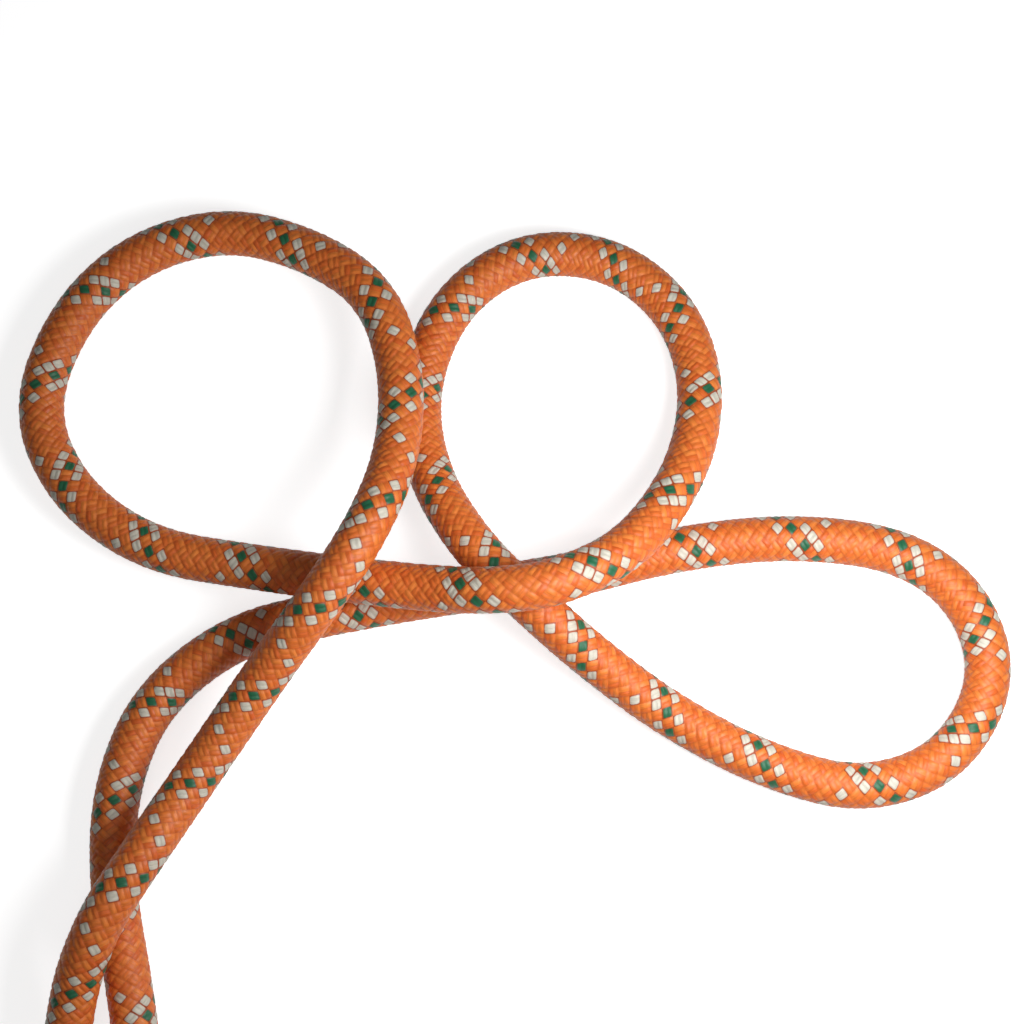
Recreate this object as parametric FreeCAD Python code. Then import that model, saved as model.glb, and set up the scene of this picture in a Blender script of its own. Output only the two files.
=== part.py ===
"""A dynamic climbing rope: loose loops that cross each other, and the rest of its length in a round coil."""

import FreeCAD
import Part
import math
import os

from FreeCAD import Vector

# Rope, in millimetres: a woven sheath round a core of twisted yarn
ROPE_DIAMETER = 10.5
ROPE_LENGTH = 8000.0
SHEATH_WALL = 1.5
CORE_CLEARANCE = 0.1

# Flats round the rope and round its core, which stand for circles
ROPE_SIDES = 8
CORE_SIDES = 6

# End finish: a shrunk sleeve over each last stretch, and the melted tip that closes the cut
SLEEVE_LENGTH = 18.0
SLEEVE_WALL = 0.4
SLEEVE_CLEARANCE = 0.05
SLEEVE_MARGIN = 1.5
TIP_LENGTH = 2.4
TIP_SHOULDER = 0.5
TIP_EDGE_BEVEL = 1.2

# Coil: turns in all, turns across one layer, and the air between a sleeve and the turn that it lies on
COIL_TURNS = 12.75
TURNS_PER_LAYER = 3.5
LAY_GAP = 0.35
FLAT_SHARE = 0.1

# The free stretch, as corners of a smooth line, from the loose end to where the coil takes over. The third
# number is the height of the rope's centre. The first point only gives the way of the stretch in the sleeve.
ROUTE = [
    (-108.5, -45.0, 5.8),
    (-107.0, -10.0, 6.2),
    (-104.2, 25.0, 10.8),
    (-97.7, 41.5, 17.3),
    (-89.1, 55.0, 17.5),
    (-76.3, 75.5, 12.5),
    (-61.7, 96.5, 17.0),
    (-49.8, 111.0, 26.0),
    (-39.6, 126.0, 28.0),
    (-32.9, 144.5, 20.5),
    (-32.2, 165.0, 17.0),
    (-38.5, 184.0, 14.5),
    (-54.3, 195.7, 9.5),
    (-74.5, 202.0, 5.8),
    (-95.5, 196.0, 5.3),
    (-110.5, 181.0, 5.3),
    (-118.3, 158.5, 5.3),
    (-109.2, 138.6, 5.3),
    (-90.5, 125.5, 5.3),
    (-66.5, 121.2, 8.8),
    (-44.5, 117.3, 15.6),
    (-24.5, 114.5, 20.5),
    (-11.0, 113.0, 28.0),
    (3.2, 114.7, 29.0),
    (20.0, 123.9, 22.0),
    (33.0, 143.5, 13.0),
    (36.8, 164.5, 7.5),
    (30.5, 183.5, 5.3),
    (14.6, 195.5, 5.3),
    (-6.0, 195.9, 5.3),
    (-22.5, 183.5, 5.3),
    (-30.0, 163.0, 5.3),
    (-27.1, 143.0, 8.0),
    (-16.5, 124.5, 16.5),
    (-2.0, 110.5, 17.0),
    (11.5, 99.5, 10.5),
    (28.5, 87.5, 5.5),
    (49.5, 76.5, 5.3),
    (71.5, 70.5, 5.3),
    (91.5, 77.7, 5.3),
    (102.0, 96.3, 5.3),
    (96.7, 114.7, 5.3),
    (81.5, 126.0, 5.3),
    (56.0, 129.0, 5.3),
    (29.5, 126.0, 5.3),
    (3.5, 120.2, 5.3),
    (-22.5, 115.9, 5.3),
    (-48.0, 111.4, 5.3),
    (-70.4, 106.3, 5.3),
    (-88.7, 91.7, 5.3),
    (-96.5, 72.3, 5.3),
    (-96.8, 50.0, 5.3),
    (-91.4, 25.0, 5.3),
    (-87.5, -3.0, 5.3),
    (-86.5, -32.0, 5.3),
    (-87.5, -60.0, 5.3),
    (-87.5, -88.0, 5.3),
]
ARC_SHARE = 0.45

# Values that follow from the sizes above
ROPE_RADIUS = ROPE_DIAMETER / 2
BORE_RADIUS = ROPE_RADIUS - SHEATH_WALL
CORE_RADIUS = BORE_RADIUS - CORE_CLEARANCE
SLEEVE_BORE_RADIUS = ROPE_RADIUS + SLEEVE_CLEARANCE
TURN_PITCH = ROPE_DIAMETER + SLEEVE_CLEARANCE + SLEEVE_WALL + LAY_GAP
SUNK_HEIGHT = ROPE_RADIUS - FLAT_SHARE * ROPE_DIAMETER

# Parts of a turn: each pair of the coil's arcs spans half a turn, and its spiral reverses within one pair
ARC_SPAN = 1 / 2
REVERSAL_REACH = ARC_SPAN / 2

# Steps of the measurements, and how far along the rope two points must be before their gap counts
MEAN_STEPS = 1000
TANGENT_STEP = 0.0005
GAP_STEP = 1.5
OWN_STRETCH = 2.5 * ROPE_DIAMETER


def straight(start, end):
    return Part.LineSegment(start, end).toShape()


def arc(start, middle, end):
    return Part.Arc(start, middle, end).toShape()


def unit(vector):
    return Vector(vector).normalize()


def soft_step(share):
    """Runs from 0 to 1 with a level start and a level end."""
    return share ** 2 * (3 - 2 * share)


def strand(path, radius, sides):
    """A many-sided solid along a wire, square to it at both ends, with one corner of its section on top."""
    first = path.Edges[0]
    start = first.valueAt(first.FirstParameter)
    way = first.tangentAt(first.FirstParameter)
    sideways = unit(way.cross(Vector(0, 0, 1)))
    upward = sideways.cross(way)
    corners = []
    for side in range(sides + 1):
        angle = 2 * math.pi * side / sides
        corners.append(start + sideways * (radius * math.sin(angle)) + upward * (radius * math.cos(angle)))
    return path.makePipeShell([Part.makePolygon(corners)], True, False)


def section_area(radius, sides):
    return sides / 2 * radius ** 2 * math.sin(2 * math.pi / sides)


def free_end(corners):
    """The cut end of the loose strand, far enough out for the sleeve to lie on a straight stretch."""
    first, second, third = corners[:3]
    bend = ARC_SHARE * (third - second).Length
    return second + unit(first - second) * (bend + SLEEVE_MARGIN + SLEEVE_LENGTH)


def rounded_path(corners):
    """Straight runs joined by tangent arcs, each arc as large as its two runs allow, and the arcs' radii."""
    edges = []
    radii = []
    here = corners[0]
    for before, corner, after in zip(corners, corners[1:], corners[2:]):
        back = before - corner
        onward = after - corner
        setback = ARC_SHARE * min(back.Length, onward.Length)
        half_turn = (math.pi - back.getAngle(onward)) / 2
        radius = setback / math.tan(half_turn)
        start = corner + unit(back) * setback
        end = corner + unit(onward) * setback
        inward = unit(unit(back) + unit(onward))
        middle = corner + inward * (radius / math.cos(half_turn) - radius)
        edges += [straight(here, start), arc(start, middle, end)]
        radii.append(radius)
        here = end
    edges.append(straight(here, corners[-1]))
    return Part.Wire(edges), radii


def inset(turns):
    """How many pitches the spiral has moved in from the outermost turn, rounded where it reverses."""
    within = turns % (2 * TURNS_PER_LAYER)
    steady = min(within, 2 * TURNS_PER_LAYER - within)
    if steady < REVERSAL_REACH and turns > REVERSAL_REACH:
        return steady ** 2 / ARC_SPAN + REVERSAL_REACH / 2
    to_reversal = TURNS_PER_LAYER - steady
    if to_reversal < REVERSAL_REACH:
        return TURNS_PER_LAYER - to_reversal ** 2 / ARC_SPAN - REVERSAL_REACH / 2
    return steady


def climb(turns):
    """Height above the lowest layer, in pitches: level, with a soft step in each half turn of reversal."""
    layer = math.floor((turns + REVERSAL_REACH) / TURNS_PER_LAYER)
    share = (turns + REVERSAL_REACH - layer * TURNS_PER_LAYER) / ARC_SPAN
    if layer == 0 or share > 1:
        return float(layer)
    return layer - 1 + soft_step(share)


def mean_inset():
    """The average of inset over the whole coil."""
    return sum(inset(COIL_TURNS * (step + 0.5) / MEAN_STEPS) for step in range(MEAN_STEPS)) / MEAN_STEPS


def coil_point(turns, outer_radius, entry):
    """Centre of the rope after so many turns, starting at the entry point and going anticlockwise."""
    angle = math.pi + 2 * math.pi * turns
    radius = outer_radius - TURN_PITCH * inset(turns)
    sinking = soft_step(min(turns / ARC_SPAN, 1.0)) * (entry.z - SUNK_HEIGHT)
    rise = TURN_PITCH * climb(turns) - sinking
    return entry + Vector(outer_radius + radius * math.cos(angle), radius * math.sin(angle), rise)


def coil_way(turns, outer_radius, entry):
    """The direction in which the rope runs after so many turns."""
    before = coil_point(max(turns - TANGENT_STEP, 0.0), outer_radius, entry)
    after = coil_point(min(turns + TANGENT_STEP, COIL_TURNS), outer_radius, entry)
    return unit(after - before)


def biarc(start, start_way, end, end_way):
    """Two arcs that leave start and reach end in the given directions and meet smoothly between them."""
    chord = end - start
    along = chord.dot(start_way + end_way)
    fall = 2 * (1 - start_way.dot(end_way))
    reach = (-along + math.sqrt(along ** 2 + fall * chord.dot(chord))) / fall
    first_knee = start + start_way * reach
    second_knee = end - end_way * reach
    joint = (first_knee + second_knee) * 0.5
    edges = []
    for begin, knee, finish in ((start, first_knee, joint), (joint, second_knee, end)):
        half_turn = (knee - begin).getAngle(finish - knee) / 2
        radius = reach / math.tan(half_turn)
        inward = unit((begin + finish) * 0.5 - knee)
        edges.append(arc(begin, knee + inward * (radius / math.cos(half_turn) - radius), finish))
    return edges


def coil_path(entry, rope_left):
    """The coil's wire: a straight lead-in, turns that use up the rope that is left, and a straight end for
    the sleeve. Also its cut end, the way out of that end, and the outermost radius."""
    tail = SLEEVE_LENGTH + SLEEVE_MARGIN
    turns_length = rope_left - ROPE_DIAMETER - tail
    outer_radius = turns_length / (2 * math.pi * COIL_TURNS) + TURN_PITCH * mean_inset()
    start = entry + Vector(0, -ROPE_DIAMETER, 0)
    marks = [0.0]
    while marks[-1] < COIL_TURNS - REVERSAL_REACH:
        marks.append(min(ARC_SPAN * len(marks) - REVERSAL_REACH, COIL_TURNS))
    points = [coil_point(mark, outer_radius, start) for mark in marks]
    ways = [coil_way(mark, outer_radius, start) for mark in marks]
    edges = [straight(entry, start)]
    for span in range(len(marks) - 1):
        edges += biarc(points[span], ways[span], points[span + 1], ways[span + 1])
    cut_end = points[-1] + ways[-1] * tail
    edges.append(straight(points[-1], cut_end))
    return Part.Wire(edges), cut_end, ways[-1], outer_radius


def end_sleeve(cut_end, outward):
    """A thin shrunk tube over the last stretch of rope, level with the cut."""
    inner_end = cut_end - outward * SLEEVE_LENGTH
    outside = Part.makeCylinder(SLEEVE_BORE_RADIUS + SLEEVE_WALL, SLEEVE_LENGTH, inner_end, outward)
    inside = Part.makeCylinder(SLEEVE_BORE_RADIUS, SLEEVE_LENGTH, inner_end, outward)
    return outside.cut(inside)


def fused_tip(cut_end, outward):
    """The melted end: a button on the cut face with a bevelled rim."""
    button = Part.makeCylinder(ROPE_RADIUS - TIP_SHOULDER, TIP_LENGTH, cut_end, outward)
    far_centre = cut_end + outward * TIP_LENGTH
    circles = [edge for edge in button.Edges if isinstance(edge.Curve, Part.Circle)]
    rim = [edge for edge in circles if (edge.Curve.Center - far_centre).Length < TIP_LENGTH / 2]
    return button.makeChamfer(TIP_EDGE_BEVEL, rim)


def floor_cut(solid):
    """Takes off what lies below the surface that the rope rests on."""
    box = solid.BoundBox
    margin = ROPE_DIAMETER
    low_corner = Vector(box.XMin - margin, box.YMin - margin, -margin)
    slab = Part.makeBox(box.XLength + 2 * margin, box.YLength + 2 * margin, margin, low_corner)
    return solid.cut(slab).Solids[0]


def least_gap(wire):
    """Smallest distance between the surfaces of two stretches of one rope."""
    points = wire.discretize(Distance=GAP_STEP)
    own_points = int(OWN_STRETCH / GAP_STEP)
    size = 2 * ROPE_DIAMETER
    cells = {}
    for index, point in enumerate(points):
        key = (int(point.x // size), int(point.y // size), int(point.z // size))
        cells.setdefault(key, []).append(index)
    steps = (-1, 0, 1)
    least = size
    for (column, row, level), members in cells.items():
        keys = [(column + i, row + j, level + k) for i in steps for j in steps for k in steps]
        near = [index for key in keys for index in cells.get(key, ())]
        for index in members:
            for other in near:
                if other - index > own_points:
                    least = min(least, (points[index] - points[other]).Length)
    return least - ROPE_DIAMETER


def main():
    corners = [Vector(*point) for point in ROUTE]
    corners[0] = free_end(corners)
    free_way = unit(corners[0] - corners[1])
    loops_path, radii = rounded_path(corners)
    rope_left = ROPE_LENGTH - loops_path.Length
    coil_wire, coil_end, coil_end_way, outer_radius = coil_path(corners[-1], rope_left)

    whole = strand(loops_path, ROPE_RADIUS, ROPE_SIDES)
    sheath = whole.cut(strand(loops_path, BORE_RADIUS, CORE_SIDES)).Solids[0]
    core = strand(loops_path, CORE_RADIUS, CORE_SIDES)
    coil = floor_cut(strand(coil_wire, ROPE_RADIUS, ROPE_SIDES))
    parts = {
        "sheath_loops": sheath,
        "core_loops": core,
        "rope_coil": coil,
        "loose_end_sleeve": end_sleeve(corners[0], free_way),
        "coil_end_sleeve": end_sleeve(coil_end, coil_end_way),
        "loose_end_tip": fused_tip(corners[0], free_way),
        "coil_end_tip": fused_tip(coil_end, coil_end_way),
    }

    rope_section = section_area(ROPE_RADIUS, ROPE_SIDES)
    core_section = section_area(CORE_RADIUS, CORE_SIDES)
    wall_section = rope_section - section_area(BORE_RADIUS, CORE_SIDES)
    sheath_ratio = sheath.Volume / (wall_section * loops_path.Length)
    core_ratio = core.Volume / (core_section * loops_path.Length)
    coil_ratio = coil.Volume / (rope_section * coil_wire.Length)
    print("bend radii of the free stretch:", [round(radius, 1) for radius in sorted(radii)])
    print(f"lengths: free stretch {loops_path.Length:.1f}, coil {coil_wire.Length:.1f}")
    print(f"outermost radius of the coil's centre line: {outer_radius:.2f}")
    print(f"least gap to itself: free stretch {least_gap(loops_path):.2f}, coil {least_gap(coil_wire):.2f}")
    print(f"volume / (section * length): {sheath_ratio:.4f}, {core_ratio:.4f}, coil {coil_ratio:.4f}")

    os.makedirs("parts", exist_ok=True)
    for name, solid in parts.items():
        solid.exportStep(f"parts/{name}.step")
        print(name, "solids:", len(solid.Solids), "valid:", solid.isValid())


main()
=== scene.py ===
"""A dynamic climbing rope, woven in orange with white and green tracer yarns, lying in loose loops."""

import functools
import math

import bmesh
import bpy
import numpy as np
from bpy.props import FloatProperty, FloatVectorProperty, IntProperty, PointerProperty
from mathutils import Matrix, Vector


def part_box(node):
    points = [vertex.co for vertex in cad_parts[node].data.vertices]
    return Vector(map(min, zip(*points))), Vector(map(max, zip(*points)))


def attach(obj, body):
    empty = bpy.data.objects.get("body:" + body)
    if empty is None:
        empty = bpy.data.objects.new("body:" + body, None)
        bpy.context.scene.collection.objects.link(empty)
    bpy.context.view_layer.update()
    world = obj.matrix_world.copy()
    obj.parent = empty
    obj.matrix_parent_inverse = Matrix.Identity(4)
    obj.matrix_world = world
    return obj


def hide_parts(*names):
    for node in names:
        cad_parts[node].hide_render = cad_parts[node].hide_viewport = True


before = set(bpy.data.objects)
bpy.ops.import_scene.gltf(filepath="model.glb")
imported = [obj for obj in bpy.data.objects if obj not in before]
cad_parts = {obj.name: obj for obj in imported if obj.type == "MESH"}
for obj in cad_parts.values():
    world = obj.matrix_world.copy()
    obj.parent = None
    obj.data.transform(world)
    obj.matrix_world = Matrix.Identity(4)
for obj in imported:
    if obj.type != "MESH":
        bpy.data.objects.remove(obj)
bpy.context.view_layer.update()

bl_info = {
    "name": "Climbing rope",
    "version": (1, 0, 0),
    "blender": (4, 5, 0),
    "location": "View3D > Sidebar > Rope",
    "description": "Weaves the sheath of a climbing rope and finishes its core and its ends",
    "category": "Add Mesh",
}

MM = 0.001

# The route of the free stretch, in metres, from the loose end to where the coil takes over. The first
# point only gives the direction of the straight end, which a sleeve lies on.
ROUTE = [
    (-0.1085, -0.0450, 0.0058),
    (-0.1070, -0.0100, 0.0062),
    (-0.1042, 0.0250, 0.0108),
    (-0.0977, 0.0415, 0.0173),
    (-0.0891, 0.0550, 0.0175),
    (-0.0763, 0.0755, 0.0125),
    (-0.0617, 0.0965, 0.0170),
    (-0.0498, 0.1110, 0.0260),
    (-0.0396, 0.1260, 0.0280),
    (-0.0329, 0.1445, 0.0205),
    (-0.0322, 0.1650, 0.0170),
    (-0.0385, 0.1840, 0.0145),
    (-0.0543, 0.1957, 0.0095),
    (-0.0745, 0.2020, 0.0058),
    (-0.0955, 0.1960, 0.0053),
    (-0.1105, 0.1810, 0.0053),
    (-0.1183, 0.1585, 0.0053),
    (-0.1092, 0.1386, 0.0053),
    (-0.0905, 0.1255, 0.0053),
    (-0.0665, 0.1212, 0.0088),
    (-0.0445, 0.1173, 0.0156),
    (-0.0245, 0.1145, 0.0205),
    (-0.0110, 0.1130, 0.0280),
    (0.0032, 0.1147, 0.0290),
    (0.0200, 0.1239, 0.0220),
    (0.0330, 0.1435, 0.0130),
    (0.0368, 0.1645, 0.0075),
    (0.0305, 0.1835, 0.0053),
    (0.0146, 0.1955, 0.0053),
    (-0.0060, 0.1959, 0.0053),
    (-0.0225, 0.1835, 0.0053),
    (-0.0300, 0.1630, 0.0053),
    (-0.0271, 0.1430, 0.0080),
    (-0.0165, 0.1245, 0.0165),
    (-0.0020, 0.1105, 0.0170),
    (0.0115, 0.0995, 0.0105),
    (0.0285, 0.0875, 0.0055),
    (0.0495, 0.0765, 0.0053),
    (0.0715, 0.0705, 0.0053),
    (0.0915, 0.0777, 0.0053),
    (0.1020, 0.0963, 0.0053),
    (0.0967, 0.1147, 0.0053),
    (0.0815, 0.1260, 0.0053),
    (0.0560, 0.1290, 0.0053),
    (0.0295, 0.1260, 0.0053),
    (0.0035, 0.1190, 0.0053),
    (-0.0225, 0.1159, 0.0053),
    (-0.0480, 0.1114, 0.0053),
    (-0.0704, 0.1063, 0.0053),
    (-0.0887, 0.0917, 0.0053),
    (-0.0965, 0.0723, 0.0053),
    (-0.0968, 0.0500, 0.0053),
    (-0.0914, 0.0250, 0.0053),
    (-0.0875, -0.0030, 0.0053),
    (-0.0865, -0.0320, 0.0053),
    (-0.0875, -0.0600, 0.0053),
    (-0.0875, -0.0880, 0.0053),
]

# The solid rounds a corner over this share of the shorter run beside it
ARC_SHARE = 0.45

# The straight ends: a sleeve's length, and the bare rope between it and the nearest bend
SLEEVE_LENGTH = 18 * MM
SLEEVE_MARGIN = 1.5 * MM

# The coil, as in the solid: its turns, how many of them lie side by side in a layer, how far apart they
# lie, and the part of a turn before and after a spiral's reversal in which the rope climbs a layer
COIL_TURNS = 12.75
TURNS_PER_LAYER = 3.5
TURN_PITCH = 11.3 * MM
REVERSAL_REACH = 1 / 4

# The rope's middle line: control points in a turn of the coil, and points read between two control points
POINTS_PER_TURN = 16
SPLINE_RESOLUTION = 24

# The rope's makeup: carriers that wind each way, and the colours of the bundles on them
CARRIERS = 8
WHITE_Z = (0, 2)
GREEN_Z = (1,)
WHITE_S = (1,)
YARNS_PER_BUNDLE = 2

# How the sheath lies along the free stretch, as the photograph shows it: distance from the loose end in
# metres, how often the bundles have gone round by then, and by what share of a turn the rope has rolled,
# because handling has twisted it. The white and green bundles cross on top where the bundles have gone
# round a whole number of times and the roll is 0, or half a turn more and the roll is a half.
TWIST = (
    (0.119, 5.0, -0.24), (0.195, 8.0, -0.165), (0.248, 10.0, -0.165), (0.304, 12.0, -0.115),
    (0.378, 15.0, -0.09), (0.428, 17.0, -0.045), (0.482, 19.0, -0.02), (0.536, 21.0, -0.02),
    (0.565, 22.0, 0.055), (0.589, 23.0, 0.155), (0.622, 24.5, 0.335), (0.715, 28.5, 0.36),
    (0.791, 31.5, 0.41), (0.842, 33.5, 0.38), (0.942, 37.5, 0.445), (1.046, 41.5, 0.41),
    (1.092, 43.5, 0.365),
)
# The middle of the green bundle, in turns round the weave
CROSSING_TURN = (GREEN_Z[0] + 0.5) / CARRIERS


class RopeSizes(bpy.types.PropertyGroup):
    diameter: FloatProperty(
        name="Diameter", description="Thickness of the rope over its sheath",
        default=10.5 * MM, unit="LENGTH")
    lead: FloatProperty(
        name="Lead", description="Length in which a bundle of the sheath goes once round",
        default=25.6 * MM, unit="LENGTH")
    relief: FloatProperty(
        name="Relief", description="Depth between the bundles of the sheath",
        default=0.33 * MM, unit="LENGTH")


class RopeMesh(bpy.types.PropertyGroup):
    loop_pieces: IntProperty(
        name="Loop pieces", description="Meshes that the free stretch is made in", default=4, min=1)
    loop_step: FloatProperty(
        name="Loop step", description="Width of a face on the free stretch",
        default=0.34 * MM, unit="LENGTH")
    coil_pieces: IntProperty(
        name="Coil pieces", description="Meshes that the coil is made in", default=5, min=1)
    coil_step: FloatProperty(
        name="Coil step", description="Width of a face on the coil", default=0.75 * MM, unit="LENGTH")


class RopeColours(bpy.types.PropertyGroup):
    orange: FloatVectorProperty(
        name="Orange", description="Ground yarns", subtype="COLOR", default=(0.95, 0.27, 0.048))
    # Deep orange is a deeper tone that yarns and floats lean to at random. It is also the painted shade on
    # the second yarn of every bundle and on the rims of the floats.
    deep_orange_and_shade: FloatVectorProperty(
        name="Deep orange", description="The darker of two ground yarns", subtype="COLOR",
        default=(0.72, 0.115, 0.016))
    white: FloatVectorProperty(
        name="White", description="Pale tracer yarns", subtype="COLOR", default=(0.70, 0.66, 0.55))
    green: FloatVectorProperty(
        name="Green", description="Green tracer yarns", subtype="COLOR", default=(0.018, 0.145, 0.065))
    sheen: FloatVectorProperty(
        name="Sheen", description="Silky shine of the yarns", subtype="COLOR", default=(1.0, 0.75, 0.5))
    core: FloatVectorProperty(
        name="Core", description="Undyed yarn", subtype="COLOR", default=(0.74, 0.72, 0.66))
    pale_core: FloatVectorProperty(
        name="Pale core", description="The paler of two undyed yarns", subtype="COLOR",
        default=(0.9, 0.9, 0.88))
    sleeve: FloatVectorProperty(
        name="Sleeve", description="Shrunk sleeves", subtype="COLOR", default=(0.012, 0.012, 0.014))
    melt: FloatVectorProperty(
        name="Melt", description="Melted ends", subtype="COLOR", default=(0.16, 0.035, 0.012))


class StageSizes(bpy.types.PropertyGroup):
    elevation: FloatProperty(
        name="Elevation", description="Height of the view above the level", default=math.radians(80),
        subtype="ANGLE")
    distance: FloatProperty(
        name="Distance", description="From the camera to the middle of the loops",
        default=0.52, unit="LENGTH")
    lens: FloatProperty(name="Lens", description="Focal length in millimetres", default=80.18)
    floor: FloatVectorProperty(
        name="Floor", description="Colour of the floor", subtype="COLOR", default=(0.86, 0.86, 0.86))


def unit(vector):
    """The same direction, one metre long."""
    return vector / np.linalg.norm(vector)


def soft_step(share):
    """Runs from 0 to 1 with a level start and a level end."""
    return share ** 2 * (3 - 2 * share)


def inset(turns):
    """How many pitches the coil's spiral has moved in from the outermost turn."""
    within = turns % (2 * TURNS_PER_LAYER)
    return min(within, 2 * TURNS_PER_LAYER - within)


def climb(turns):
    """Height above the lowest layer, in pitches: level, with a soft step where the spiral reverses."""
    layer = math.floor((turns + REVERSAL_REACH) / TURNS_PER_LAYER)
    share = (turns + REVERSAL_REACH - layer * TURNS_PER_LAYER) / (2 * REVERSAL_REACH)
    if layer == 0 or share > 1:
        return float(layer)
    return layer - 1 + soft_step(share)


def coil_points(entry, diameter):
    """Control points of the coil, a little outside its turns, because the line runs inside its control
    points. The coil is as wide as its solid and ends in a straight stretch for its sleeve."""
    start = entry + np.array((0, -diameter, 0))
    outer_radius = (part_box("rope_coil")[1][0] - diameter / 2 - entry[0] + TURN_PITCH / 2) / 2
    middle = start + np.array((outer_radius, 0, 0))
    spread = 1 / math.cos(math.pi / POINTS_PER_TURN)
    points = [start]
    count = round(COIL_TURNS * POINTS_PER_TURN)
    for step in range(1, count + 1):
        turns = step / POINTS_PER_TURN
        angle = math.pi + 2 * math.pi * turns
        radius = (outer_radius - TURN_PITCH * inset(turns)) * (spread if step < count else 1)
        points.append(middle + np.array((
            radius * math.cos(angle), radius * math.sin(angle), TURN_PITCH * climb(turns))))
    tail = SLEEVE_LENGTH + SLEEVE_MARGIN
    way = np.array((-1.0, 0.0, 0.0))
    return points + [points[-1] + way * tail / 2, points[-1] + way * tail]


def route_points():
    """The free stretch's control points, with the loose end as far out as its sleeve needs."""
    points = [np.array(point) for point in ROUTE]
    first, second, third = points[:3]
    bend = ARC_SHARE * np.linalg.norm(third - second)
    points[0] = second + unit(first - second) * (bend + SLEEVE_MARGIN + SLEEVE_LENGTH)
    return points


class Line:
    """The middle of the whole rope: its points, and the ways up and sideways, at any distance along it."""

    def __init__(self, points, entry):
        chords = np.diff(points, axis=0)
        self.along = np.concatenate([[0], np.cumsum(np.linalg.norm(chords, axis=1))])
        self.points = points
        tangents = np.gradient(points, self.along, axis=0)
        self.tangents = tangents / np.linalg.norm(tangents, axis=1)[:, None]
        level = np.array((0.0, 0.0, 1.0)) - self.tangents * self.tangents[:, 2:]
        self.ups = level / np.linalg.norm(level, axis=1)[:, None]
        self.length = self.along[-1]
        self.loops_length = self.along[np.linalg.norm(points - entry, axis=1).argmin()]

    def at(self, distances):
        """Points, up directions and side directions at these distances from the loose end."""
        def read(values):
            return np.stack([np.interp(distances, self.along, values[:, k]) for k in range(3)], axis=1)
        tangents = read(self.tangents)
        tangents /= np.linalg.norm(tangents, axis=1)[:, None]
        ups = read(self.ups)
        ups -= tangents * (ups * tangents).sum(1)[:, None]
        ups /= np.linalg.norm(ups, axis=1)[:, None]
        return read(self.points), ups, np.cross(tangents, ups)


@functools.lru_cache
def rope_line():
    """One smooth line through the loops and the coil, as Blender's own spline gives it."""
    route = route_points()
    points = route + coil_points(route[-1], bpy.context.scene.rope_sizes.diameter)
    curve = bpy.data.curves.new("rope_line", "CURVE")
    curve.dimensions = "3D"
    spline = curve.splines.new("NURBS")
    spline.points.add(len(points) - 1)
    for target, point in zip(spline.points, points):
        target.co = (*point, 1)
    spline.order_u = 3
    spline.use_endpoint_u = True
    spline.resolution_u = SPLINE_RESOLUTION
    holder = bpy.data.objects.new("rope_line", curve)
    mesh = bpy.data.meshes.new_from_object(holder)
    line = np.array([vertex.co[:] for vertex in mesh.vertices])
    bpy.data.meshes.remove(mesh)
    bpy.data.objects.remove(holder)
    bpy.data.curves.remove(curve)
    return Line(line, route[-1])


def twist_at(distances):
    """How often the bundles have gone round at these distances from the loose end, and the roll there."""
    marks, counts, rolls = np.array(TWIST).T
    lead = bpy.context.scene.rope_sizes.lead
    before = np.minimum(distances - marks[0], 0) / lead
    after = np.maximum(distances - marks[-1], 0) / lead
    return np.interp(distances, marks, counts) + before + after, np.interp(distances, marks, rolls)


# Form of a float, which is the stretch of a bundle that shows between two crossings: how flat the middle
# of its arch is, how softly the arch rises, and how much of a full round each of its yarns has
ARCH_POWER = 3
ARCH_SOFTNESS = 0.7
YARN_ROUNDNESS = 0.93

# Floats differ in height by a random share, which comes back after this many floats
FLOAT_HEIGHTS = (0.8, 1.0)
FLOATS_TO_REPEAT = 97
SEED = 7


def weave_height(turns_round, leads):
    """Height of the weave from 0 to 1: bundles of two yarns that go over and under each other."""
    across_z = CARRIERS * (turns_round - leads)
    across_s = CARRIERS * (turns_round + leads)
    cell_z, cell_s = np.floor(across_z), np.floor(across_s)
    z_on_top = (cell_z + cell_s) % 2 < 1
    across = np.where(z_on_top, across_z - cell_z, across_s - cell_s)
    along = np.where(z_on_top, across_s - cell_s, across_z - cell_z)
    arch = 1 - np.abs(2 * along - 1) ** ARCH_POWER
    from_yarn = 2 * (YARNS_PER_BUNDLE * across % 1) - 1
    yarn = np.sqrt(1 - (YARN_ROUNDNESS * from_yarn) ** 2)
    yarns = YARNS_PER_BUNDLE * CARRIERS
    heights = np.random.default_rng(SEED).uniform(*FLOAT_HEIGHTS, (yarns, FLOATS_TO_REPEAT))
    row = (YARNS_PER_BUNDLE * cell_z + (across > 0.5)) % yarns
    height = heights[row.astype(int), ((cell_s - cell_z) % FLOATS_TO_REPEAT).astype(int)]
    return height * arch ** ARCH_SOFTNESS * yarn


# Points on the two edges of the sheet that lie nearer to each other than this are one point of the tube
SEAM_GAP = MM / 1000


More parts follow.
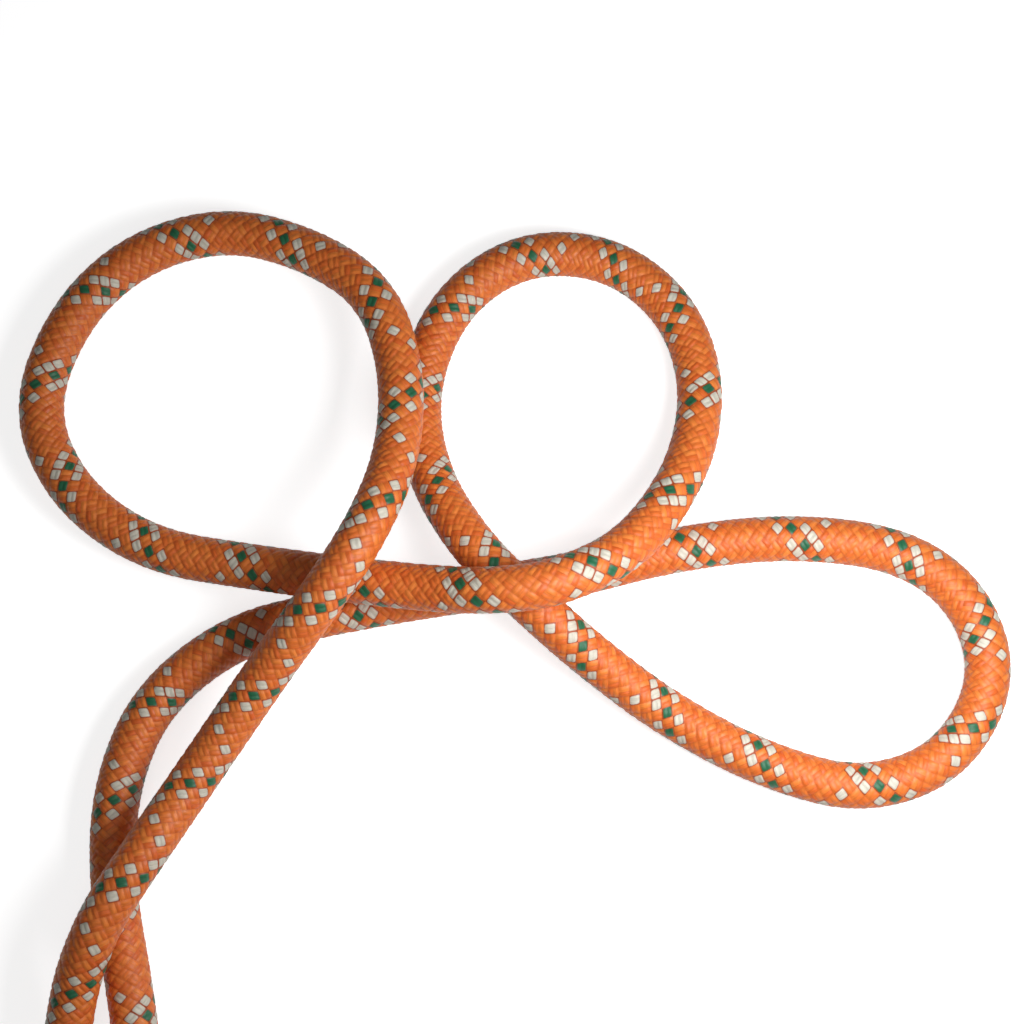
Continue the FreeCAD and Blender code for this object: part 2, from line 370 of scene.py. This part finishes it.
def wrapped_cloth(name, rings, sides, shape):
    """A flat sheet of faces wrapped into a closed tube. Shape takes the shares along and round, and gives
    each point's place and its place in the weave, which becomes the UV map."""
    half = 0.5
    bm = bmesh.new()
    bmesh.ops.create_grid(bm, x_segments=rings, y_segments=sides, size=half)
    mesh = bpy.data.meshes.new(name)
    bm.to_mesh(mesh)
    bm.free()
    flat = np.empty(len(mesh.vertices) * 3, np.float32)
    mesh.vertices.foreach_get("co", flat)
    flat = flat.reshape(-1, 3).astype(float) + half
    share_along, share_round = flat[:, 0], flat[:, 1]
    places, weave = shape(share_along, share_round)
    mesh.vertices.foreach_set("co", places.astype(np.float32).ravel())
    corners = np.empty(len(mesh.loops), np.int32)
    mesh.loops.foreach_get("vertex_index", corners)
    mesh.uv_layers.new(name="weave").data.foreach_set("uv", weave[corners].astype(np.float32).ravel())
    half_face = half / sides
    seam = np.flatnonzero((share_round < half_face) | (share_round > 1 - half_face))
    bm = bmesh.new()
    bm.from_mesh(mesh)
    bm.verts.ensure_lookup_table()
    bmesh.ops.remove_doubles(bm, verts=[bm.verts[index] for index in seam], dist=SEAM_GAP)
    for face in bm.faces:
        face.smooth = True
    rim = [edge for edge in bm.edges if edge.is_boundary]
    for edge in rim:
        edge.smooth = False
    bmesh.ops.holes_fill(bm, edges=rim, sides=0)
    bmesh.ops.recalc_face_normals(bm, faces=bm.faces)
    bm.to_mesh(mesh)
    bm.free()
    piece = bpy.data.objects.new(name, mesh)
    bpy.context.scene.collection.objects.link(piece)
    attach(piece, "root")
    return piece


def sheath(name, start, end, step):
    """The woven sheath between two distances along the rope, and the points that it follows."""
    sizes = bpy.context.scene.rope_sizes
    line = rope_line()
    rings = round((end - start) / step)
    sides = round(math.pi * sizes.diameter / step)

    def shape(share_along, share_round):
        distances = start + share_along * (end - start)
        points, ups, sideways = line.at(distances)
        leads, roll = twist_at(distances)
        turns_round = share_round + CROSSING_TURN - roll
        radius = sizes.diameter / 2 - sizes.relief * (1 - weave_height(turns_round, leads))
        angle = 2 * math.pi * share_round
        outward = ups * np.cos(angle)[:, None] + sideways * np.sin(angle)[:, None]
        return points + outward * radius[:, None], np.stack([turns_round, leads], axis=1)

    piece = wrapped_cloth(name, rings, sides, shape)
    piece.data.materials.append(woven_sheath_material())
    path_points = round((end - start) / MM)
    return piece, line.at(np.linspace(start, end, path_points))[0]


# Inputs and output of Blender's Mix node: share, first and second value, result
MIX_COLOURS = ((0, 6, 7), 2)
MIX_NUMBERS = ((0, 2, 3), 0)


class Nodes:
    """Places nodes in a tree and joins their sockets."""

    def __init__(self, tree):
        self.tree = tree

    def feed(self, socket, value):
        """Links an output to this socket, or sets the socket to a plain value."""
        if isinstance(value, bpy.types.NodeSocket):
            self.tree.links.new(value, socket)
        else:
            socket.default_value = value

    def add(self, kind, inputs=(), **settings):
        """A node with these settings, whose inputs are fed by name or by number."""
        node = self.tree.nodes.new(kind)
        for name, value in settings.items():
            setattr(node, name, value)
        for key, value in dict(inputs).items():
            self.feed(node.inputs[key], value)
        return node

    def math(self, operation, *values):
        """The result of this operation on two or three numbers."""
        return self.add("ShaderNodeMath", enumerate(values), operation=operation).outputs[0]

    def between(self, share, low, high):
        """A number that runs from low to high as the share runs from 0 to 1."""
        return self.math("MULTIPLY_ADD", share, high - low, low)

    def mix(self, share, first, second, blend="MIX"):
        """A colour from the first to the second, or both blended in another way."""
        inputs, result = MIX_COLOURS
        values = dict(zip(inputs, (share, first, second)))
        return self.add("ShaderNodeMix", values, data_type="RGBA", blend_type=blend).outputs[result]

    def choose(self, share, first, second):
        """A number from the first to the second."""
        inputs, result = MIX_NUMBERS
        values = dict(zip(inputs, (share, first, second)))
        return self.add("ShaderNodeMix", values, data_type="FLOAT").outputs[result]

    def grey(self, level):
        """A grey of this level, as a colour."""
        return self.add("ShaderNodeCombineColor", {0: level, 1: level, 2: level}).outputs[0]

    def random(self, dimensions, **inputs):
        """A random number from 0 to 1 that is the same wherever the inputs are."""
        noise = self.add("ShaderNodeTexWhiteNoise", inputs, noise_dimensions=dimensions)
        return noise.outputs["Value"]


# Numbers of carriers are whole, so two of them that differ by less than this are the same
WHOLE_SLACK = 0.1

# Filaments of a yarn, as cells of noise: how many lie across a float and along it, how far apart each yarn
# and each float reads the noise, and how fine and how rough the noise is
FILAMENTS_ACROSS = 8.0
FILAMENTS_ALONG = 1.3
YARN_STRIDE = 5.3
FLOAT_STRIDE = 3.1
FILAMENT_DETAIL = 3.0
FILAMENT_ROUGHNESS = 0.6

# Height on a float: the level between its two yarns, and the shares of form and filaments in all of it
LEVEL_BETWEEN_YARNS = 0.4
FORM_SHARE = 0.6
FILAMENT_SHARE = 0.4

# The shaded rim of a float: how near its ends and its sides the rim lies, and where it starts and is full
RIM_END_POWER = 7
RIM_SIDE_POWER = 4
RIM_START = 0.2
RIM_FULL = 0.7

# How far a yarn and a float lean at random from orange to deep orange, at most, and how far the painted
# shade on the second yarn of every bundle leans, so that each float looks lit on one side
YARN_LEAN = 0.3
FLOAT_LEAN = 0.3
SECOND_YARN_PAINTED_SHADE = 0.35

# The rim on ground yarns and on tracers: how strongly it shows, and how light it is
RIM_STRENGTH = (0.2, 1.0)
RIM_LIGHTNESS = (1.0, 0.6)

# Light and shade from the hollows to the crests, and from one filament to the next
CREST_SHADE = (0.84, 1.02)
FILAMENT_SHADE = (0.65, 1.35)

# Least and most roughness of each finish
YARN_ROUGHNESS = (0.38, 0.58)
SLEEVE_ROUGHNESS = (0.35, 0.55)
MELT_ROUGHNESS = (0.15, 0.35)
CORE_ROUGHNESS = 0.6


@functools.lru_cache
def braid_group():
    """The weave of the sheath: colour, height and roughness of its yarns. It reads the UV map's turns round
    the rope and turns that the bundles have gone."""
    tree = bpy.data.node_groups.new("braid", "ShaderNodeTree")
    sockets = tree.interface
    sockets.new_socket("Weave", in_out="INPUT", socket_type="NodeSocketVector")
    for name in ("Ground", "Deep ground and shade", "White", "Green"):
        sockets.new_socket(name, in_out="INPUT", socket_type="NodeSocketColor")
    sockets.new_socket("Colour", in_out="OUTPUT", socket_type="NodeSocketColor")
    for name in ("Height", "Roughness"):
        sockets.new_socket(name, in_out="OUTPUT", socket_type="NodeSocketFloat")
    n = Nodes(tree)
    given = n.add("NodeGroupInput").outputs

    # Which bundle is on top, and where on its float the point lies
    weave = n.add("ShaderNodeSeparateXYZ", {0: given["Weave"]}).outputs
    across_z = n.math("MULTIPLY", n.math("SUBTRACT", weave[0], weave[1]), CARRIERS)
    across_s = n.math("MULTIPLY", n.math("ADD", weave[0], weave[1]), CARRIERS)
    cell_z = n.math("FLOOR", across_z)
    cell_s = n.math("FLOOR", across_s)
    odd = n.math("FLOORED_MODULO", n.math("ADD", cell_z, cell_s), 2)
    s_on_top = n.math("GREATER_THAN", odd, 0.5)
    z_on_top = n.math("SUBTRACT", 1, s_on_top)
    carrier_z = n.math("FLOORED_MODULO", cell_z, CARRIERS)
    carrier_s = n.math("FLOORED_MODULO", cell_s, CARRIERS)
    part_z = n.math("SUBTRACT", across_z, cell_z)
    part_s = n.math("SUBTRACT", across_s, cell_s)
    across = n.choose(s_on_top, part_z, part_s)
    along = n.choose(s_on_top, part_s, part_z)
    carrier = n.choose(s_on_top, carrier_z, n.math("ADD", carrier_s, CARRIERS))
    float_number = n.math("SUBTRACT", cell_s, cell_z)
    second_yarn = n.math("GREATER_THAN", across, 0.5)
    yarn_number = n.math("MULTIPLY_ADD", carrier, YARNS_PER_BUNDLE, second_yarn)

    # Filaments run along each yarn
    float_stride = n.math("MULTIPLY", float_number, FLOAT_STRIDE)
    filament_place = n.add("ShaderNodeCombineXYZ", {
        0: n.math("MULTIPLY", across, FILAMENTS_ACROSS),
        1: n.math("MULTIPLY", along, FILAMENTS_ALONG),
        2: n.math("MULTIPLY_ADD", yarn_number, YARN_STRIDE, float_stride),
    }).outputs[0]
    filaments = n.add("ShaderNodeTexNoise", {
        "Vector": filament_place, "Scale": 1.0,
        "Detail": FILAMENT_DETAIL, "Roughness": FILAMENT_ROUGHNESS,
    }).outputs[0]

    # Each float is an arch, and each of its two yarns is round
    from_middle = n.math("ABSOLUTE", n.between(along, -1, 1))
    from_centre = n.math("ABSOLUTE", n.between(across, -1, 1))
    arch = n.math("SUBTRACT", 1, n.math("POWER", from_middle, ARCH_POWER))
    yarn = n.math("ABSOLUTE", n.math("SINE", n.math("MULTIPLY", across, YARNS_PER_BUNDLE * math.pi)))
    height = n.math("MULTIPLY", arch, n.between(yarn, LEVEL_BETWEEN_YARNS, 1))
    corner = n.math("ADD", n.math("POWER", from_middle, RIM_END_POWER),
                    n.math("POWER", from_centre, RIM_SIDE_POWER))
    rim = n.add("ShaderNodeMapRange", {
        "Value": corner, "From Min": RIM_START, "From Max": RIM_FULL, "To Min": 0.0, "To Max": 1.0,
    }, interpolation_type="SMOOTHSTEP").outputs[0]

    # The ground differs in tone from yarn to yarn and from float to float, and its second yarns get painted
    # shade
    float_place = n.add("ShaderNodeCombineXYZ", {0: yarn_number, 1: float_number}).outputs[0]
    yarn_lean = n.math("MULTIPLY", n.random("1D", W=yarn_number), YARN_LEAN)
    float_lean = n.math("MULTIPLY", n.random("2D", Vector=float_place), FLOAT_LEAN)
    tone = n.math("ADD", yarn_lean, float_lean)
    # Painted shade: the second yarn of every bundle leans further to deep orange, so each float looks lit
    # on one side
    tone = n.math("ADD", tone, n.math("MULTIPLY", second_yarn, SECOND_YARN_PAINTED_SHADE))
    ground = n.mix(tone, given["Ground"], given["Deep ground and shade"])

    def on_carriers(value, numbers):
        found = 0.0
        for number in numbers:
            found = n.math("ADD", found, n.math("COMPARE", value, number, WHOLE_SLACK))
        return found

    # The tracers
    white_share = n.math("ADD", n.math("MULTIPLY", z_on_top, on_carriers(carrier_z, WHITE_Z)),
                         n.math("MULTIPLY", s_on_top, on_carriers(carrier_s, WHITE_S)))
    green_share = n.math("MULTIPLY", z_on_top, on_carriers(carrier_z, GREEN_Z))
    colour = n.mix(white_share, ground, given["White"])
    colour = n.mix(green_share, colour, given["Green"])

    # Rims, crests and filaments shade the colour
    tracer = n.math("MAXIMUM", white_share, green_share)
    rim_shade = n.grey(n.between(tracer, *RIM_LIGHTNESS))
    rim_colour = n.mix(1.0, given["Deep ground and shade"], rim_shade, "MULTIPLY")
    colour = n.mix(n.math("MULTIPLY", rim, n.between(tracer, *RIM_STRENGTH)), colour, rim_colour)
    shade = n.math("MULTIPLY", n.between(filaments, *FILAMENT_SHADE), n.between(height, *CREST_SHADE))
    colour = n.mix(1.0, colour, n.grey(shade), "MULTIPLY")

    filament_height = n.math("MULTIPLY", filaments, FILAMENT_SHARE)
    n.add("NodeGroupOutput", {
        "Colour": colour,
        "Height": n.math("MULTIPLY_ADD", height, FORM_SHARE, filament_height),
        "Roughness": n.between(filaments, *YARN_ROUGHNESS),
    })
    return tree


def opaque(colour):
    """A colour as a socket takes it, with its fourth value."""
    return (*colour, 1)


def new_material(name, even=()):
    """A material whose shader has these values all over, with its node tools and its shader's inputs."""
    material = bpy.data.materials.new(name)
    material.use_nodes = True
    material.node_tree.nodes.clear()
    n = Nodes(material.node_tree)
    shader = n.add("ShaderNodeBsdfPrincipled", even)
    n.add("ShaderNodeOutputMaterial", {0: shader.outputs[0]})
    return material, n, shader.inputs


def grain_on_piece(n, cells, detail):
    """Noise that stays in its place on the piece, with this many cells in a metre."""
    place = n.add("ShaderNodeTexCoord").outputs["Object"]
    return n.add("ShaderNodeTexNoise", {"Vector": place, "Scale": cells, "Detail": detail}).outputs[0]


def raise_surface(n, shader, height, strength, depth):
    """Lets a height from 0 to 1 raise the surface by this depth."""
    bump = n.add("ShaderNodeBump", {"Height": height, "Strength": strength, "Distance": depth})
    n.feed(shader["Normal"], bump.outputs[0])


@functools.lru_cache
def woven_sheath_material():
    """Orange yarns with white and green tracers, slightly silky."""
    colours = bpy.context.scene.rope_colours
    material, n, shader = new_material("woven_sheath", {
        "Specular IOR Level": 0.45, "Sheen Weight": 0.1, "Sheen Roughness": 0.35,
        "Sheen Tint": opaque(colours.sheen)})
    braid = n.add("ShaderNodeGroup", node_tree=braid_group())
    n.feed(braid.inputs["Weave"], n.add("ShaderNodeUVMap", uv_map="weave").outputs[0])
    for name, colour in (("Ground", colours.orange), ("Deep ground and shade", colours.deep_orange_and_shade),
                         ("White", colours.white), ("Green", colours.green)):
        n.feed(braid.inputs[name], opaque(colour))
    n.feed(shader["Base Color"], braid.outputs["Colour"])
    n.feed(shader["Roughness"], braid.outputs["Roughness"])
    raise_surface(n, shader, braid.outputs["Height"], strength=0.35, depth=0.25 * MM)
    return material


@functools.lru_cache
def shrunk_sleeve_material():
    """Black plastic with a fine grain."""
    colours = bpy.context.scene.rope_colours
    material, n, shader = new_material("shrunk_sleeve", {"Base Color": opaque(colours.sleeve)})
    grain = grain_on_piece(n, cells=900.0, detail=4.0)
    n.feed(shader["Roughness"], n.between(grain, *SLEEVE_ROUGHNESS))
    raise_surface(n, shader, grain, strength=0.3, depth=0.1 * MM)
    return material


@functools.lru_cache
def melted_end_material():
    """Melted and set yarn, darkened and glossy, with the orange showing through."""
    colours = bpy.context.scene.rope_colours
    material, n, shader = new_material("melted_end")
    flow = grain_on_piece(n, cells=500.0, detail=3.0)
    n.feed(shader["Base Color"], n.mix(flow, opaque(colours.melt), opaque(colours.orange)))
    n.feed(shader["Roughness"], n.between(flow, *MELT_ROUGHNESS))
    raise_surface(n, shader, flow, strength=0.5, depth=0.3 * MM)
    return material


@functools.lru_cache
def core_yarn_material():
    """Undyed yarn, a little uneven in tone."""
    colours = bpy.context.scene.rope_colours
    material, n, shader = new_material("core_yarn", {"Roughness": CORE_ROUGHNESS})
    grain = grain_on_piece(n, cells=1500.0, detail=3.0)
    n.feed(shader["Base Color"], n.mix(grain, opaque(colours.core), opaque(colours.pale_core)))
    return material


# The middle of the loops in millimetres, which the camera looks at
CAMERA_AIM = (-7.5, 134.0, 8.0)


class ROPE_OT_camera(bpy.types.Operator):
    """Set the camera over the loops, at the photograph's angle"""
    bl_idname = "rope.camera"
    bl_label = "Camera"

    def execute(self, context):
        stage = context.scene.rope_stage
        target = Vector(CAMERA_AIM) * MM
        back = Vector((0, -math.cos(stage.elevation), math.sin(stage.elevation)))
        data = bpy.data.cameras.new("camera")
        data.lens = stage.lens
        camera = bpy.data.objects.new("camera", data)
        camera.location = target + back * stage.distance
        camera.rotation_euler = back.to_track_quat("Z", "Y").to_euler()
        context.scene.collection.objects.link(camera)
        context.scene.camera = camera
        return {"FINISHED"}


class ROPE_OT_loops(bpy.types.Operator):
    """Weave the sheath of the free stretch, which lies in loops"""
    bl_idname = "rope.loops"
    bl_label = "Loops"

    def execute(self, context):
        sizes, mesh = context.scene.rope_sizes, context.scene.rope_mesh
        line = rope_line()
        marks = np.linspace(0, line.loops_length, mesh.loop_pieces + 1)
        for number, (start, end) in enumerate(zip(marks, marks[1:]), 1):
            piece, path = sheath(f"loop_sheath_{number}", start, end, mesh.loop_step)
            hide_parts("sheath_loops")
        return {"FINISHED"}


class ROPE_OT_coil(bpy.types.Operator):
    """Weave the sheath of the length that is put away in a round coil"""
    bl_idname = "rope.coil"
    bl_label = "Coil"

    def execute(self, context):
        sizes, mesh = context.scene.rope_sizes, context.scene.rope_mesh
        line = rope_line()
        marks = np.linspace(line.loops_length, line.length, mesh.coil_pieces + 1)
        for number, (start, end) in enumerate(zip(marks, marks[1:]), 1):
            piece, path = sheath(f"coil_sheath_{number}", start, end, mesh.coil_step)
            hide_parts("rope_coil")
        return {"FINISHED"}


class ROPE_OT_ends(bpy.types.Operator):
    """Finish the sleeves, the melted ends and the core"""
    bl_idname = "rope.ends"
    bl_label = "Ends"

    def execute(self, context):
        finishes = {
            "loose_end_sleeve": shrunk_sleeve_material(),
            "coil_end_sleeve": shrunk_sleeve_material(),
            "loose_end_tip": melted_end_material(),
            "coil_end_tip": melted_end_material(),
            "core_loops": core_yarn_material(),
        }
        for node, material in finishes.items():
            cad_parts[node].material_slots[0].material = material
        return {"FINISHED"}


# The floor: how far it reaches each way in metres, the grey that lights the rope from below, and how much
# it glows where the camera or a shiny surface sees it in its own colour
FLOOR_REACH = 12.0
FLOOR_BOUNCE = (0.22, 0.22, 0.22)
FLOOR_GLOW = 0.75

# Light from all round: its colour and its strength, where 1 is white
WHITE_LIGHT = (1, 1, 1, 1)
ROOM_LIGHT = 0.08

# Lamps: place and width in metres, and power in watts. All are turned to one place on the floor.
LAMPS = {
    "key": ((0.095, 0.085, 0.17), 0.1, 0.4),
    "fill": ((-0.10, 0.00, 0.50), 0.3, 0.2),
}
LAMP_AIM = (0, 0.1, 0)


def lay_floor(context):
    """The pale floor, which stays pale in the picture and sends little light back up."""
    bm = bmesh.new()
    bmesh.ops.create_grid(bm, x_segments=1, y_segments=1, size=FLOOR_REACH)
    mesh = bpy.data.meshes.new("floor")
    bm.to_mesh(mesh)
    bm.free()
    floor = bpy.data.objects.new("floor", mesh)
    context.scene.collection.objects.link(floor)
    material, n, shader = new_material("pale_floor", {
        "Roughness": 0.8, "Specular IOR Level": 0.1, "Emission Color": WHITE_LIGHT})
    light_path = n.add("ShaderNodeLightPath").outputs
    seen = n.math("MAXIMUM", light_path["Is Camera Ray"], light_path["Is Glossy Ray"])
    seen = n.math("MAXIMUM", seen, light_path["Is Transmission Ray"])
    floor_colour = opaque(context.scene.rope_stage.floor)
    n.feed(shader["Base Color"], n.mix(seen, opaque(FLOOR_BOUNCE), floor_colour))
    n.feed(shader["Emission Strength"], n.math("MULTIPLY", seen, FLOOR_GLOW))
    mesh.materials.append(material)


def light_room(context):
    """Even white light from all round."""
    world = bpy.data.worlds.new("studio")
    world.use_nodes = True
    background = world.node_tree.nodes["Background"].inputs
    background["Color"].default_value = WHITE_LIGHT
    background["Strength"].default_value = ROOM_LIGHT
    context.scene.world = world


def hang_lamp(context, name, place, width, power):
    """A soft lamp that the camera doesn't see."""
    data = bpy.data.lights.new(name, "AREA")
    data.size = width
    data.energy = power
    lamp = bpy.data.objects.new(name, data)
    lamp.location = place
    lamp.rotation_euler = (lamp.location - Vector(LAMP_AIM)).to_track_quat("Z", "Y").to_euler()
    lamp.visible_camera = False
    context.scene.collection.objects.link(lamp)


class ROPE_OT_stage(bpy.types.Operator):
    """Lay the pale floor and hang the soft lamps"""
    bl_idname = "rope.stage"
    bl_label = "Stage"

    def execute(self, context):
        lay_floor(context)
        light_room(context)
        for name, (place, width, power) in LAMPS.items():
            hang_lamp(context, name, place, width, power)
        context.scene.view_settings.view_transform = "Standard"
        return {"FINISHED"}


class ROPE_PT_panel(bpy.types.Panel):
    """Lists the rope's sizes, colours and pieces in the sidebar"""
    bl_label = "Climbing rope"
    bl_idname = "ROPE_PT_panel"
    bl_space_type = "VIEW_3D"
    bl_region_type = "UI"
    bl_category = "Rope"

    def draw(self, context):
        for name in GROUPS:
            group = getattr(context.scene, name)
            box = self.layout.box()
            for value in group.__annotations__:
                box.prop(group, value)
        for operator in OPERATORS:
            self.layout.operator(operator.bl_idname)


GROUPS = {
    "rope_sizes": RopeSizes,
    "rope_mesh": RopeMesh,
    "rope_colours": RopeColours,
    "rope_stage": StageSizes,
}
OPERATORS = (ROPE_OT_camera, ROPE_OT_loops, ROPE_OT_coil, ROPE_OT_ends, ROPE_OT_stage)


def register():
    for name, group in GROUPS.items():
        bpy.utils.register_class(group)
        setattr(bpy.types.Scene, name, PointerProperty(type=group))
    for operator in OPERATORS:
        bpy.utils.register_class(operator)
    bpy.utils.register_class(ROPE_PT_panel)


def unregister():
    bpy.utils.unregister_class(ROPE_PT_panel)
    for operator in reversed(OPERATORS):
        bpy.utils.unregister_class(operator)
    for name, group in reversed(GROUPS.items()):
        delattr(bpy.types.Scene, name)
        bpy.utils.unregister_class(group)


def main():
    register()
    bpy.ops.rope.camera()
    bpy.ops.rope.loops()
    bpy.ops.rope.coil()
    bpy.ops.rope.ends()
    bpy.ops.rope.stage()


if __name__ == "__main__":
    main()
